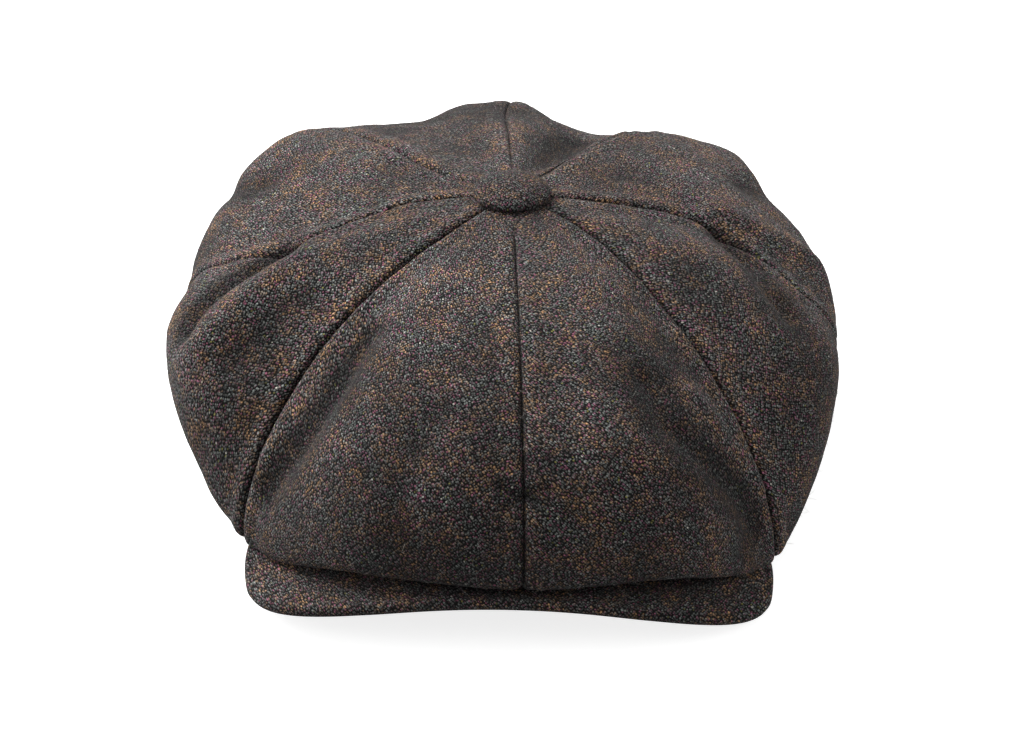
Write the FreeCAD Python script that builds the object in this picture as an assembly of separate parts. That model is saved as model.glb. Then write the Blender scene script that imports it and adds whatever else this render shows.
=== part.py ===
import FreeCAD, Part
import math
import os

from FreeCAD import Vector

# Newsboy cap with eight panels. Millimetres. The origin is the middle of the head opening, in the
# plane of the band's lower edge. The front of the cap faces -Y, +X is the wearer's left, +Z is up.
# Bearings are degrees around the crown: 0 at the front seam, 90 on the wearer's left.

# Head opening and band
HEAD_LENGTH = 198.0            # front to back, inside the sweatband
HEAD_WIDTH = 162.0             # side to side, inside the sweatband
BAND_HEIGHT = 40.0
SWEATBAND_THICKNESS = 1.2
SWEATBAND_LIFT = 1.0           # the sweatband's lower edge stands this far above the band's
SWEATBAND_DROP = 2.0           # its upper edge lies this far below the band's
INTERLINING_THICKNESS = 1.0
INTERLINING_LIFT = 1.0
INTERLINING_DROP = 1.0
TWEED_THICKNESS = 1.2

# Crown. Each list runs once round the cap from the front seam, in steps of 45 degrees: the first of
# a pair is read at the eight seams, and the second half-way between them, at the middle of a panel.
# Heights are above the band's upper edge.
CROWN_RISE = 72.0              # to the point where the panels meet, under the button
BUTTON_OFFSET = (1.0, -3.0)    # that point, in plan
SEAM_OVERHANG = [49, 52, 46, 41, 28, 42, 46, 49]      # how far the crown stands beyond the band
MIDDLE_OVERHANG = [54, 47, 39, 29, 34, 41, 51, 50]
SEAM_RIM = [-10, -31, 6, 20, 27, 26, 20, -24]         # height of the crown's widest point
MIDDLE_RIM = [-11, 1, 14, 17, 19, 24, 12, -10]
SEAM_FULLNESS = [2.3, 2.0, 1.9, 2.2, 2.5, 2.6, 1.9, 1.9]      # 2 is round, more is squarer
MIDDLE_FULLNESS = [2.3, 2.2, 2.1, 1.9, 2.1, 2.2, 2.2, 2.2]
SEAM_ROLL = [12, 17, 21, 26, 28, 26, 21, 16]          # how full it hangs where it turns under its rim
MIDDLE_ROLL = [13, 17, 24, 27, 27, 24, 17, 13]
SEAM_SWING = [2, 0, 0, 6, 0, 2, 0, -1]                # degrees that a seam lies off its even place
PANEL_PUFF = [4, 5, 7, 0, 6, 7, 6, 4]                 # how far each panel bulges between its seams
PUFF_OUTWARD = 0.8             # share of a bulge that goes outward
PUFF_UPWARD = 0.6              # share that goes up, above the rim
PUFF_DOWNWARD = 0.2            # share that goes down, below the rim
TOP_DISH = 3.0                 # the top between button and rim lies this far under a full round
CROWN_SEAM_DROP = 5.0          # the crown is sewn to the band this far below the band's top
CROWN_HOLE_RADIUS = 3.0        # the panels stop here, round the button's legs
SEAM_GAP = 0.3                 # clear width between two panels
BAND_GAP = 0.1                 # clear width between a panel's lower edge and the band

# Lining: the same form as the crown, cut smaller
LINING_THICKNESS = 0.5
LINING_INSET = 6.0             # less reach than the crown
LINING_TOP_DROP = 6.0          # lower at the top
LINING_RIM_LIFT = 5.0          # its widest point is higher
LINING_ROLL_LESS = 3.0         # it hangs less full
LINING_SEAM_DROP = 1.5         # sewn to the band this far below the band's top
LINING_HOLE_RADIUS = 1.5

# Peak
PEAK_WIDTH = 202.0
PEAK_DEPTH = 52.0              # from the front of the band to the front edge
PEAK_SIDE_LENGTH = 55.0        # from the front edge back to where the peak is widest
PEAK_SQUARENESS = 3.4          # 2 is an oval front edge, more is squarer
PEAK_TIP_BEARING = 62.0        # where the crescent's ends meet the band
PEAK_CREST_DROP = 13.5         # from the band's upper edge to the top face at its sewn edge
PEAK_CREST_SHIFT = -7.0        # the crest lies this far to one side
PEAK_ARCH_RADIUS = 275.0
PEAK_FALL = 2.4                # from the sewn edge to the front edge
PEAK_RETURN_LENGTH = 75.0      # the band's lower edge comes down to the ears over this length
PEAK_RETURN_CLEAR = 1.0        # and the cutting face ends this far below it
PEAK_WING = (0.2, 0.5)         # place of the outline between its widest point and a tip, in shares
PEAK_PADDING_THICKNESS = 0.6
PEAK_BOARD_THICKNESS = 1.2
PEAK_EDGE = 3.0                # turned cloth between the board's edge and the peak's edge

# Button
BUTTON_RADIUS = 15.5
BUTTON_DOME = 4.0
BUTTON_SKIRT = 2.4
BUTTON_SHELL_THICKNESS = 0.5
BUTTON_LIP = 3.0               # width of the cloth turned under the button
BUTTON_CLEARANCE = 0.1
PRONG_THICKNESS = 0.5
PRONG_WIDTH = 2.5
PRONG_SPACING = 1.4            # between the two legs
PRONG_REACH = 9.0              # from the middle to the end of a leg that is bent open
PATCH_RADIUS = 14.0
PATCH_THICKNESS = 1.0
PATCH_HOLE_RADIUS = 2.5

# Front tack stitches
TACK_COUNT = 5
TACK_STEP = 5.0                # degrees between two stitches
TACK_RADIUS = 0.5
TACK_CLEARANCE = 0.05

# Fineness of the surfaces
PANEL_COLUMNS = 9
PANEL_ROWS = 40
ROW_CROWDING = 1.2             # 1 is even rows, more brings them closer at the button
SAMPLE_STEP = 0.02             # share of a panel between the points that give its slope
ROLL_SAMPLES = 50
PEAK_COLUMNS = 15
PEAK_ROWS = 25
OUTLINE_POINTS = 17

# Blocks that only cut others
BLOCK_REACH = 100.0            # up and down from the origin
BLOCK_MARGIN = 10.0            # past the outline that they cut
BLOCK_OVERLAP = 1.0            # past a face that they cut through

PANEL_COUNT = 8
PANEL_ANGLE = 360.0 / PANEL_COUNT
PANEL_NAMES = ["front_left", "side_front_left", "side_back_left", "back_left",
               "back_right", "side_back_right", "side_front_right", "front_right"]

BAND_THICKNESS = SWEATBAND_THICKNESS + INTERLINING_THICKNESS + TWEED_THICKNESS
BAND_HALF_LENGTH = HEAD_LENGTH / 2 + BAND_THICKNESS
BAND_HALF_WIDTH = HEAD_WIDTH / 2 + BAND_THICKNESS
CROWN_TOP = BAND_HEIGHT + CROWN_RISE
PEAK_CREST = BAND_HEIGHT - PEAK_CREST_DROP
PEAK_THICKNESS = 2 * TWEED_THICKNESS + PEAK_PADDING_THICKNESS + PEAK_BOARD_THICKNESS


def save(shape, node):
    """Write one sub-part, after making sure that it is sound."""
    if not shape.isValid() or shape.Volume <= 0 or not shape.Solids:
        raise ValueError(node + " is not a sound solid")
    shape.exportStep("parts/" + node + ".step")


def interleave(seams, middles):
    """One list round the cap from the values at the seams and at the panel middles."""
    return [value for pair in zip(seams, middles) for value in pair]


def around(values, bearing):
    """Smooth closed curve through evenly spaced values, read at a bearing."""
    place = bearing / 360.0 * len(values)
    first = math.floor(place)
    part = place - first
    before, here, after, beyond = [values[(first + step) % len(values)] for step in (-1, 0, 1, 2)]
    slope_in = (after - before) / 2
    slope_out = (beyond - here) / 2
    rise = after - here
    bend = 3 * rise - 2 * slope_in - slope_out
    twist = slope_in + slope_out - 2 * rise
    return here + part * (slope_in + part * (bend + part * twist))


def between_seams(values, bearing):
    """Straight line between the values at two neighbouring seams."""
    place = bearing / PANEL_ANGLE
    first = math.floor(place)
    part = place - first
    return values[first % PANEL_COUNT] * (1 - part) + values[(first + 1) % PANEL_COUNT] * part


def band_reach(bearing):
    """Distance from the middle of the head opening to the band's outer face."""
    across = BAND_HALF_LENGTH * math.sin(math.radians(bearing))
    along = BAND_HALF_WIDTH * math.cos(math.radians(bearing))
    return BAND_HALF_LENGTH * BAND_HALF_WIDTH / math.hypot(across, along)


OVERHANG = interleave(SEAM_OVERHANG, MIDDLE_OVERHANG)
RIM = interleave(SEAM_RIM, MIDDLE_RIM)
FULLNESS = interleave(SEAM_FULLNESS, MIDDLE_FULLNESS)
ROLL = interleave(SEAM_ROLL, MIDDLE_ROLL)

SHELL_LAYER = {"inset": 0.0, "top": CROWN_TOP, "lift": 0.0, "roll_less": 0.0,
               "sewn": BAND_HEIGHT - CROWN_SEAM_DROP, "hole": CROWN_HOLE_RADIUS}
LINING_LAYER = {"inset": LINING_INSET, "top": CROWN_TOP - LINING_TOP_DROP,
                "lift": LINING_RIM_LIFT, "roll_less": LINING_ROLL_LESS,
                "sewn": BAND_HEIGHT - LINING_SEAM_DROP, "hole": LINING_HOLE_RADIUS}


def crown_point(layer, panel, bearing, down):
    """Point on a panel's outer face. down runs from 0 at the button to 1 at the rim and 2 at the band."""
    upper = min(down, 1.0) * math.pi / 2
    under = max(down - 1.0, 0.0) * math.pi / 2
    swing = between_seams(SEAM_SWING, bearing) * min(1.0, 2.0 - down)
    sine = math.sin(math.radians(bearing + swing))
    cosine = math.cos(math.radians(bearing + swing))
    sewn_reach = band_reach(bearing + swing) + BAND_GAP
    reach = band_reach(bearing) + around(OVERHANG, bearing) - layer["inset"]
    rim = BAND_HEIGHT + around(RIM, bearing) + layer["lift"]
    power = 2.0 / around(FULLNESS, bearing)
    out = math.sin(upper) ** power
    up = max(math.cos(upper), 0.0) ** power
    radius = reach * out - (reach - sewn_reach) * (1 - math.cos(under))
    height = rim + (layer["top"] - rim) * up - TOP_DISH * 4 * out * (1 - out)
    roll = around(ROLL, bearing) - layer["roll_less"]
    height += (layer["sewn"] - rim) * math.sin(under) ** 2 - roll * math.sin(2 * under) / 2
    across = abs(2 * (bearing / PANEL_ANGLE - panel) - 1)
    puff = PANEL_PUFF[panel] * (1 - across ** 2) * out * math.sin(down * math.pi / 2)
    radius += PUFF_OUTWARD * puff
    height += (PUFF_UPWARD if down < 1 else -PUFF_DOWNWARD) * puff * abs(math.cos(down * math.pi / 2))
    shift = math.cos(upper)
    return Vector(radius * sine + BUTTON_OFFSET[0] * shift,
                  -radius * cosine + BUTTON_OFFSET[1] * shift, height)


def skin_point(layer, panel, bearing, down, depth):
    """The same point moved into the cap by depth, square to the panel."""
    low = panel * PANEL_ANGLE
    aside = SAMPLE_STEP * PANEL_ANGLE
    ahead = crown_point(layer, panel, min(bearing + aside, low + PANEL_ANGLE), down)
    behind = crown_point(layer, panel, max(bearing - aside, low), down)
    lower = crown_point(layer, panel, bearing, min(down + SAMPLE_STEP, 2.0))
    higher = crown_point(layer, panel, bearing, max(down - SAMPLE_STEP, 0.0))
    outward = (lower - higher).cross(ahead - behind).normalize()
    return crown_point(layer, panel, bearing, down) - outward * depth


def hole_place(layer, bearing, radius):
    """How far down a panel its face is at this radius from the button, near the top."""
    reach = band_reach(bearing) + around(OVERHANG, bearing) - layer["inset"]
    return 2 / math.pi * math.asin((radius / reach) ** (around(FULLNESS, bearing) / 2))


def panel_grid(layer, panel, depth):
    """Rows of points over one panel, from the button's hole to the band, closer near the button."""
    low = panel * PANEL_ANGLE
    middle = low + PANEL_ANGLE / 2
    rows = []
    for row in range(PANEL_ROWS):
        share = (row / (PANEL_ROWS - 1)) ** ROW_CROWDING
        start = hole_place(layer, middle, layer["hole"])
        point = crown_point(layer, panel, middle, start + (2.0 - start) * share)
        shift = share if share < 0.5 else 0.5
        radius = math.hypot(point.x - BUTTON_OFFSET[0] * (1 - 2 * shift),
                            point.y - BUTTON_OFFSET[1] * (1 - 2 * shift))
        margin = math.degrees(SEAM_GAP / 2 / radius)
        points = []
        for column in range(PANEL_COLUMNS):
            bearing = low + margin + (PANEL_ANGLE - 2 * margin) * column / (PANEL_COLUMNS - 1)
            start = hole_place(layer, bearing, layer["hole"])
            points.append(skin_point(layer, panel, bearing, start + (2.0 - start) * share, depth))
        rows.append(points)
    return rows


def solid_between(first_grid, second_grid):
    """Closed solid between two smooth faces with the same layout of points."""
    faces = []
    for grid in (first_grid, second_grid):
        surface = Part.BSplineSurface()
        surface.interpolate(grid)
        faces.append(surface.toShape())
    sides = [Part.makeRuledSurface(a, b, 1) for a, b in zip(faces[0].Edges, faces[1].Edges)]
    shell = Part.Compound(faces + sides)
    shell.sewShape()
    solid = Part.Solid(shell.Shells[0])
    if solid.Volume < 0:
        solid.reverse()
    return solid


def make_panels(layer, thickness, prefix):
    """Eight wedge panels from the button to the band."""
    for panel, name in enumerate(PANEL_NAMES):
        outer = panel_grid(layer, panel, 0.0)
        inner = panel_grid(layer, panel, thickness)
        save(solid_between(outer, inner), prefix + name)


def oval_prism(growth, low, high):
    """Upright oval block, the head opening's size plus growth all round."""
    front = Vector(0, -HEAD_LENGTH / 2 - growth, low)
    side = Vector(HEAD_WIDTH / 2 + growth, 0, low)
    major, minor = (front, side) if abs(front.y) >= side.x else (side, front)
    oval = Part.Ellipse(major, minor, Vector(0, 0, low))
    face = Part.Face(Part.Wire(oval.toShape()))
    return face.extrude(Vector(0, 0, high - low))


def ring(inner_growth, thickness, low, high):
    """Upright oval ring."""
    outer = oval_prism(inner_growth + thickness, low, high)
    return outer.cut(oval_prism(inner_growth, low - BLOCK_OVERLAP, high + BLOCK_OVERLAP))


def peak_height(x, y):
    """Height of the peak's top face, carried on round the band down to the ears."""
    side = x - PEAK_CREST_SHIFT
    sag = PEAK_ARCH_RADIUS - math.sqrt(PEAK_ARCH_RADIUS ** 2 - side ** 2)
    forward = max(-y - BAND_HALF_LENGTH, 0.0) / PEAK_DEPTH
    front = PEAK_CREST - sag - PEAK_FALL * forward
    tip_y = -BAND_HALF_LENGTH * math.cos(math.radians(PEAK_TIP_BEARING))
    back = min(max((y - tip_y) / PEAK_RETURN_LENGTH, 0.0), 1.0)
    kept = 1 - back * back * (3 - 2 * back)
    return (front + PEAK_RETURN_CLEAR) * kept - PEAK_RETURN_CLEAR


def peak_slab(low, high):
    """Block between two faces that follow the peak, low and high above its top face."""
    half_width = PEAK_WIDTH / 2 + BLOCK_MARGIN
    front = -BAND_HALF_LENGTH - PEAK_DEPTH - BLOCK_MARGIN
    back = PEAK_RETURN_LENGTH
    grids = []
    for lift in (low, high):
        grid = []
        for row in range(PEAK_ROWS):
            y = front + (back - front) * row / (PEAK_ROWS - 1)
            xs = [half_width * (2 * column / (PEAK_COLUMNS - 1) - 1) for column in range(PEAK_COLUMNS)]
            grid.append([Vector(x, y, peak_height(x, y) + lift) for x in xs])
        grids.append(grid)
    return solid_between(grids[0], grids[1])


def peak_outline(inset):
    """Upright block with the peak's plan: a squared oval front, drawn in to the two tips."""
    half_width = PEAK_WIDTH / 2 - inset
    length = PEAK_SIDE_LENGTH - inset
    widest_y = -BAND_HALF_LENGTH - PEAK_DEPTH + PEAK_SIDE_LENGTH
    power = 2 / PEAK_SQUARENESS
    points = []
    for index in range(OUTLINE_POINTS):
        angle = math.pi * index / (OUTLINE_POINTS - 1)
        side = math.copysign(abs(math.cos(angle)) ** power, math.cos(angle))
        front_y = widest_y - length * math.sin(angle) ** power
        points.append(Vector(half_width * side, front_y, -BLOCK_REACH))
    tip_growth = SWEATBAND_THICKNESS - inset
    tip_x = (HEAD_WIDTH / 2 + tip_growth) * math.sin(math.radians(PEAK_TIP_BEARING))
    tip_y = -(HEAD_LENGTH / 2 + tip_growth) * math.cos(math.radians(PEAK_TIP_BEARING))
    wing_x = half_width + (tip_x - half_width) * PEAK_WING[0]
    wing_y = widest_y + (tip_y - widest_y) * PEAK_WING[1]
    wing, wing_back = [Vector(x, wing_y, -BLOCK_REACH) for x in (wing_x, -wing_x)]
    tip, tip_back = [Vector(x, tip_y, -BLOCK_REACH) for x in (tip_x, -tip_x)]
    curve = Part.BSplineCurve()
    curve.interpolate([tip, wing] + points + [wing_back, tip_back])
    face = Part.Face(Part.Wire([curve.toShape(), Part.LineSegment(tip_back, tip).toShape()]))
    block = face.extrude(Vector(0, 0, 2 * BLOCK_REACH))
    low = -BLOCK_REACH - BLOCK_OVERLAP
    return block.cut(oval_prism(SWEATBAND_THICKNESS, low, BLOCK_REACH + BLOCK_OVERLAP))


def make_peak():
    """Covers, padding and board, one on the other, and the turned edge of the top cover."""
    cover_plan = peak_outline(0.0)
    board_plan = peak_outline(PEAK_EDGE)
    padding_top = -TWEED_THICKNESS
    board_top = padding_top - PEAK_PADDING_THICKNESS
    under_top = board_top - PEAK_BOARD_THICKNESS
    top = cover_plan.common(peak_slab(under_top, 0.0))
    top = top.cut(board_plan.common(peak_slab(under_top - BLOCK_OVERLAP, padding_top)))
    save(top, "peak_top_cover")
    save(board_plan.common(peak_slab(board_top, padding_top)), "peak_padding")
    save(board_plan.common(peak_slab(under_top, board_top)), "peak_board")
    save(cover_plan.common(peak_slab(-PEAK_THICKNESS, under_top)), "peak_under_cover")


def make_band():
    """Three rings, one in the other, cut away at the front where the peak is sewn in."""
    below_peak_top = peak_slab(-BLOCK_REACH, 0.0)
    below_peak_bottom = peak_slab(-BLOCK_REACH, -PEAK_THICKNESS)
    sweatband = ring(0.0, SWEATBAND_THICKNESS, SWEATBAND_LIFT, BAND_HEIGHT - SWEATBAND_DROP)
    save(sweatband.cut(below_peak_bottom), "sweatband")
    interlining = ring(SWEATBAND_THICKNESS, INTERLINING_THICKNESS,
                       INTERLINING_LIFT, BAND_HEIGHT - INTERLINING_DROP)
    save(interlining.cut(below_peak_top), "band_interlining")
    outer = ring(SWEATBAND_THICKNESS + INTERLINING_THICKNESS, TWEED_THICKNESS, 0.0, BAND_HEIGHT)
    save(outer.cut(below_peak_top), "outer_band")


def dome(radius, skirt, rise, thickness):
    """Hollow dome on a short upright wall, its lower edge at height 0."""
    def arc(edge_radius, top_rise):
        sphere = (edge_radius ** 2 + top_rise ** 2) / (2 * top_rise)
        centre = skirt + top_rise - sphere
        half_angle = math.asin(edge_radius / sphere) / 2
        middle = Vector(sphere * math.sin(half_angle), 0, centre + sphere * math.cos(half_angle))
        return Part.Arc(Vector(edge_radius, 0, skirt), middle, Vector(0, 0, skirt + top_rise)).toShape()

    inner_radius = radius - thickness
    edges = [Part.LineSegment(Vector(radius, 0, 0), Vector(radius, 0, skirt)).toShape(),
             arc(radius, rise),
             Part.LineSegment(Vector(0, 0, skirt + rise), Vector(0, 0, skirt + rise - thickness)).toShape(),
             arc(inner_radius, rise - thickness),
             Part.LineSegment(Vector(inner_radius, 0, skirt), Vector(inner_radius, 0, 0)).toShape(),
             Part.LineSegment(Vector(inner_radius, 0, 0), Vector(radius, 0, 0)).toShape()]
    profile = Part.Face(Part.Wire(Part.__sortEdges__(edges)))
    return profile.revolve(Vector(0, 0, 0), Vector(0, 0, 1), 360)


def crown_heights(radius):
    """Heights of the crown's outer face on a circle round the button."""
    heights = []
    for panel in range(PANEL_COUNT):
        for bearing in (panel * PANEL_ANGLE, (panel + 0.5) * PANEL_ANGLE):
            down = hole_place(SHELL_LAYER, bearing, radius)
            heights.append(crown_point(SHELL_LAYER, panel, bearing, down).z)
    return heights


def make_button():
    """Cloth cover, metal shell, plate with two legs, and the felt patch that the legs open against."""
    base = max(crown_heights(CROWN_HOLE_RADIUS)) + BUTTON_CLEARANCE
    place = Vector(BUTTON_OFFSET[0], BUTTON_OFFSET[1], base)

    cover = dome(BUTTON_RADIUS, BUTTON_SKIRT, BUTTON_DOME, TWEED_THICKNESS)
    lip = Part.makeCylinder(BUTTON_RADIUS - TWEED_THICKNESS / 2, TWEED_THICKNESS)
    lip = lip.cut(Part.makeCylinder(BUTTON_RADIUS - BUTTON_LIP, TWEED_THICKNESS))
    cover = cover.fuse(lip).removeSplitter()
    cover.translate(place)
    save(cover, "button_cover")

    shell = dome(BUTTON_RADIUS - TWEED_THICKNESS, BUTTON_SKIRT - TWEED_THICKNESS,
                 BUTTON_DOME - TWEED_THICKNESS, BUTTON_SHELL_THICKNESS)
    shell.translate(place + Vector(0, 0, TWEED_THICKNESS))
    save(shell, "button_shell")

    patch_top = min(crown_heights(PATCH_RADIUS)) - TWEED_THICKNESS - BUTTON_CLEARANCE
    patch_bottom = patch_top - PATCH_THICKNESS
    patch = Part.makeCylinder(PATCH_RADIUS, PATCH_THICKNESS)
    patch = patch.cut(Part.makeCylinder(PATCH_HOLE_RADIUS, PATCH_THICKNESS))
    patch.translate(Vector(place.x, place.y, patch_bottom))
    save(patch, "button_patch")

    plate_bottom = base + TWEED_THICKNESS
    plate_radius = BUTTON_RADIUS - TWEED_THICKNESS - BUTTON_SHELL_THICKNESS - BUTTON_CLEARANCE
    prongs = Part.makeCylinder(plate_radius, PRONG_THICKNESS, Vector(0, 0, plate_bottom))
    leg_bottom = patch_bottom - PRONG_THICKNESS
    for side in (0, 180):
        leg = Part.makeBox(PRONG_THICKNESS, PRONG_WIDTH, plate_bottom - leg_bottom + PRONG_THICKNESS / 2,
                           Vector(PRONG_SPACING / 2, -PRONG_WIDTH / 2, leg_bottom))
        foot = Part.makeBox(PRONG_REACH - PRONG_SPACING / 2, PRONG_WIDTH, PRONG_THICKNESS,
                            Vector(PRONG_SPACING / 2, -PRONG_WIDTH / 2, leg_bottom))
        bent = leg.fuse(foot)
        bent.rotate(Vector(0, 0, 0), Vector(0, 0, 1), side)
        prongs = prongs.fuse(bent)
    prongs = prongs.removeSplitter()
    prongs.translate(Vector(place.x, place.y, 0))
    save(prongs, "button_prongs")


def lowest_of_roll(panel, bearing):
    """Lowest point of the crown's roll at one bearing."""
    points = [crown_point(SHELL_LAYER, panel, bearing, 1 + step / ROLL_SAMPLES)
              for step in range(ROLL_SAMPLES)]
    return min(points, key=lambda point: point.z)


def make_tack_stitches():
    """Short thread bars between the peak and the crown's roll at the front."""
    bars = []
    for index in range(TACK_COUNT):
        bearing = (index - (TACK_COUNT - 1) / 2) * TACK_STEP
        panel = 0 if bearing >= 0 else PANEL_COUNT - 1
        if panel:
            bearing += 360
        crown = lowest_of_roll(panel, bearing)
        bottom = peak_height(crown.x, crown.y) + TACK_CLEARANCE
        length = crown.z - TACK_CLEARANCE - bottom
        bars.append(Part.makeCylinder(TACK_RADIUS, length, Vector(crown.x, crown.y, bottom)))
    save(Part.Compound(bars), "front_tack_stitches")


os.makedirs("parts", exist_ok=True)
make_panels(SHELL_LAYER, TWEED_THICKNESS, "crown_panel_")
make_panels(LINING_LAYER, LINING_THICKNESS, "lining_panel_")
make_band()
make_peak()
make_button()
make_tack_stitches()
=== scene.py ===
import math

import bmesh
import bpy
import numpy as np
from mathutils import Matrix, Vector, noise


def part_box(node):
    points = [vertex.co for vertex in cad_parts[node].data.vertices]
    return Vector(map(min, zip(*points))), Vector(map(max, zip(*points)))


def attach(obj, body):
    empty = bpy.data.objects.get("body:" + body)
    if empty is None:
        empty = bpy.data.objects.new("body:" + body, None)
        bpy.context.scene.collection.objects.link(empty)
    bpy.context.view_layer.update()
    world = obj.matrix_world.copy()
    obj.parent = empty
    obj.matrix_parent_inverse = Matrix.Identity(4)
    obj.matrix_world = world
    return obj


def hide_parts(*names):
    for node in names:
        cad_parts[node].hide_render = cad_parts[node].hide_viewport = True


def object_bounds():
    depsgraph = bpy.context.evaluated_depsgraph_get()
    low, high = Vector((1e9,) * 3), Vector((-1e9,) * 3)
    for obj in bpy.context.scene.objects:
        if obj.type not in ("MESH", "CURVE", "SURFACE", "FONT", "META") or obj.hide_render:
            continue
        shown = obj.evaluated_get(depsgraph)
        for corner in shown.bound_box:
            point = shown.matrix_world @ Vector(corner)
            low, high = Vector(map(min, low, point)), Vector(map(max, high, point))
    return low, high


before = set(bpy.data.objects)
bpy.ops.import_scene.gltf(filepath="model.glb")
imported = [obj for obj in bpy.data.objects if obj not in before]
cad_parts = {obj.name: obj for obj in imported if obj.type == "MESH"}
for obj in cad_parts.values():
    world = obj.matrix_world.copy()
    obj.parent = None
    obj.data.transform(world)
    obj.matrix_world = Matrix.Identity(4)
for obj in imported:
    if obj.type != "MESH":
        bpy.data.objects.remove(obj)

cad_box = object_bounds()

# Everything below is worked out in millimetres, in the CAD frame, and becomes metres in the meshes.
MM = 0.001

# The cap's sizes, as in the CAD source
HEAD_HALF = np.array([81.0, 99.0])          # inside the sweatband: across, and front to back
SWEATBAND_THICKNESS = 1.2
INTERLINING_THICKNESS = 1.0
TWEED_THICKNESS = 1.2
BAND_HEIGHT = 40.0
BAND_HALF_WIDTH = 84.4
BAND_HALF_LENGTH = 102.4
BUTTON_OFFSET = (1.0, -3.0)
PANEL_NAMES = ["front_left", "side_front_left", "side_back_left", "back_left",
               "back_right", "side_back_right", "side_front_right", "front_right"]
SEAM_OVERHANG = [49, 52, 46, 41, 28, 42, 46, 49]
MIDDLE_OVERHANG = [54, 47, 39, 29, 34, 41, 51, 50]
SEAM_RIM = [30, 9, 46, 60, 67, 66, 60, 16]
MIDDLE_RIM = [29, 41, 54, 57, 59, 64, 52, 30]
SEAM_FULLNESS = [2.3, 2.0, 1.9, 2.2, 2.5, 2.6, 1.9, 1.9]
MIDDLE_FULLNESS = [2.3, 2.2, 2.1, 1.9, 2.1, 2.2, 2.2, 2.2]
SEAM_ROLL = [12, 17, 21, 26, 28, 26, 21, 16]
MIDDLE_ROLL = [13, 17, 24, 27, 27, 24, 17, 13]
SEAM_SWING = [2, 0, 0, 6, 0, 2, 0, -1]
PANEL_PUFF = [4, 5, 7, 0, 6, 7, 6, 4]
TOP_DISH = 3.0
BAND_GAP = 0.1
SHELL = {"inset": 0.0, "top": 112.0, "lift": 0.0, "roll_less": 0.0, "sewn": 35.0, "hole": 3.0}
LINING = {"inset": 6.0, "top": 106.0, "lift": 5.0, "roll_less": 3.0, "sewn": 38.5, "hole": 1.5}
LINING_THICKNESS = 0.5
PEAK_WIDTH = 202.0
PEAK_DEPTH = 52.0
PEAK_SIDE_LENGTH = 55.0
PEAK_SQUARENESS = 3.4
PEAK_TIP_BEARING = 62.0
PEAK_TIP_TRIM = 0.4                         # degrees cut off each tip, where the layers run out
PEAK_WING = (0.2, 0.5)
PEAK_CREST = 26.5
PEAK_CREST_SHIFT = -7.0
PEAK_ARCH_RADIUS = 275.0
PEAK_FALL = 2.4
PEAK_RETURN_LENGTH = 75.0
PEAK_RETURN_CLEAR = 1.0
PEAK_THICKNESS = 4.2
PUFF_OUT = 0.8                              # share of a panel's bulge that goes outward
PUFF_UP = (0.6, -0.2)                       # and upward: above the widest line, and below it
SWEATBAND_RANGE = (1.0, 38.0)               # heights of the band's inner layers
INTERLINING_RANGE = (1.0, 39.0)

# How far the cloth's seams wander from their even bearings: (down, degrees) from button to band.
SEAM_DRIFT = [
    [(0.0, 0.0), (2.0, 0.0)],
    [(0.05, 12.0), (0.2, 7.0), (0.32, 3.0), (0.5, 0.5), (0.7, -1.5), (1.0, 0.0), (2.0, 0.0)],
    [(0.05, 0.0), (0.2, 3.5), (0.38, 3.5), (0.5, -1.0), (0.62, -8.5), (0.74, -9.0), (0.95, -5.0),
     (1.3, 0.0)],
    [(0.0, 8.0), (0.5, 8.0), (1.0, 3.0), (1.4, 0.0)],
    [(0.0, 0.0), (0.4, 2.0), (0.8, -1.0), (1.2, 0.0)],
    [(0.05, 10.0), (0.2, 0.0), (0.4, -4.0), (0.6, -6.0), (0.9, -2.0), (1.3, 0.0)],
    [(0.05, 0.0), (0.15, -4.0), (0.25, 2.0), (0.36, 11.0), (0.45, 12.0), (0.6, 7.0), (0.8, 0.0),
     (1.2, 0.0)],
    [(0.0, -1.0), (0.3, -2.0), (0.6, -1.0), (1.0, 0.0)],
]
# How deep each seam's line is pressed in, and how high the turned edges beside it stand
SEAM_DEPTH = [1.6, 1.6, 1.8, 1.4, 1.1, 1.4, 1.8, 1.7]
SEAM_SHOULDER = [0.3, 0.6, 0.6, 0.6, 0.3, 0.4, 0.7, 0.9]

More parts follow.
